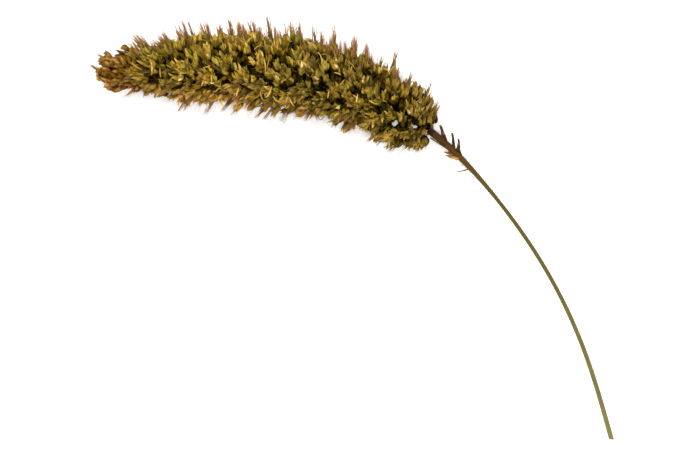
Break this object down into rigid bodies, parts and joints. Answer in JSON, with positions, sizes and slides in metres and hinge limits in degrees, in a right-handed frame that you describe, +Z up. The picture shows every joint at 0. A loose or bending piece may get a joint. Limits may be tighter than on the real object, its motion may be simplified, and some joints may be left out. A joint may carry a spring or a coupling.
{
  "type": "foxtail grass seed head",
  "caption": "Dense, gently curved foxtail grass spike with short bristles on a thin arching stalk cut at a slant, lying down as picked.",
  "frame": {"origin": "middle of the object's footprint on the surface that it lies on", "axes": "+Z up from the surface; +X along the longest side, from the spike's tip towards the cut end of the stalk; +Y towards the outside of the bend"},
  "size_m": [0.1258, 0.0984, 0.0198],
  "materials": {
    "dry_grains": "matt dry olive-brown grains and bristles, rusty at the tip",
    "dry_stalk": "smooth olive stalk with a faint sheen, brown at the neck"
  },
  "bodies": {
    "root": {"seed_head": "dry_grains", "stem": "dry_stalk"}
  },
  "joints": []
}
